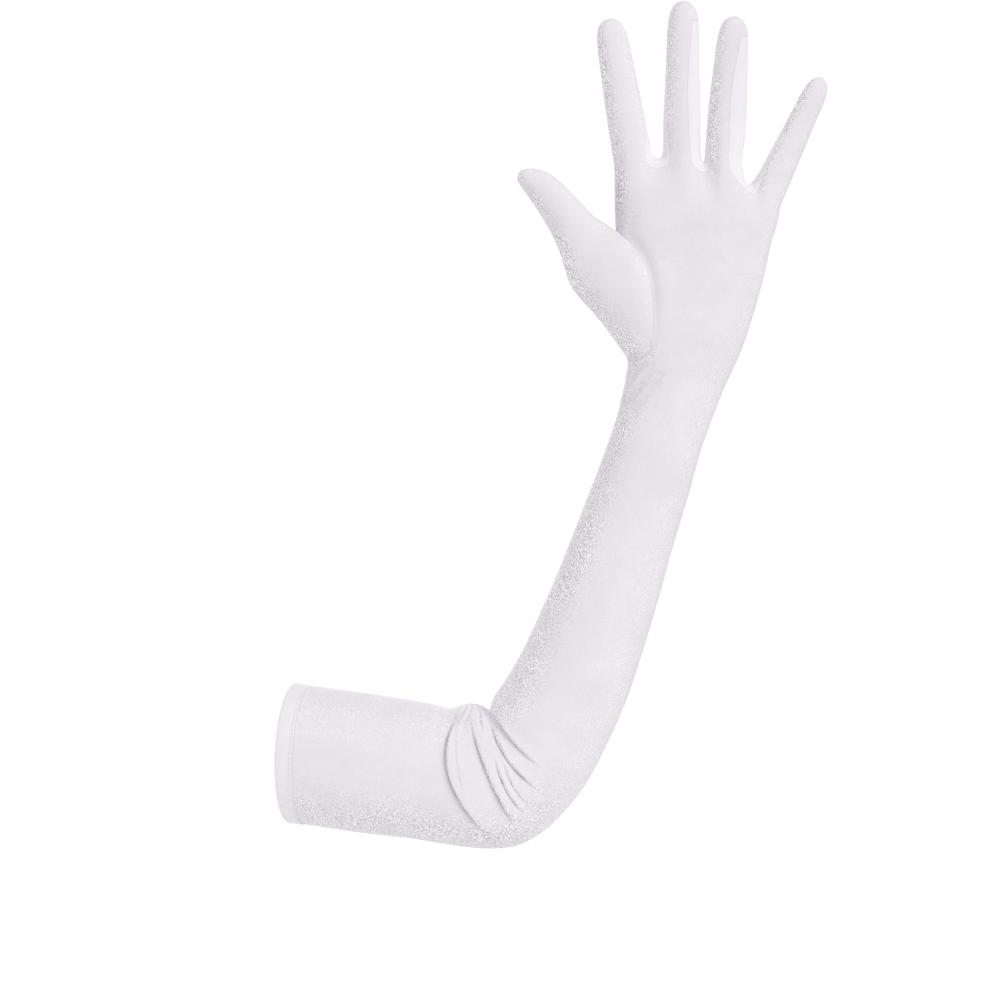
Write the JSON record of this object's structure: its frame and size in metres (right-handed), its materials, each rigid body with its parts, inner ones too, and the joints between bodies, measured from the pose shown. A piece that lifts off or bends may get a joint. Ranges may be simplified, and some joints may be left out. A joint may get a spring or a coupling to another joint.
{
  "type": "long velvet dress glove",
  "caption": "Above-elbow dress glove of stretch velvet for a left hand, in its worn form with a bent elbow, open at the cuff.",
  "frame": {"origin": "middle of the cuff's mouth, where the arm goes in", "axes": "+Z from the elbow up along the forearm and fingers, +X from the cuff along the upper arm, -Y out of the palm"},
  "size_m": [0.2812, 0.0899, 0.4319],
  "materials": {
    "velvet": "white stretch velvet with a short sparkling pile",
    "strip_velvet": "white stretch velvet strips between the fingers",
    "hem_velvet": "white stretch velvet, folded double and stitched"
  },
  "bodies": {
    "root": {"trank": "velvet", "trank_finger_index": "velvet", "trank_finger_middle": "velvet", "trank_finger_ring": "velvet", "trank_finger_little": "velvet", "thumb": "velvet", "fourchette_index_middle": "strip_velvet", "fourchette_middle_ring": "strip_velvet", "fourchette_ring_little": "strip_velvet", "cuff_hem": "hem_velvet"}
  },
  "joints": []
}
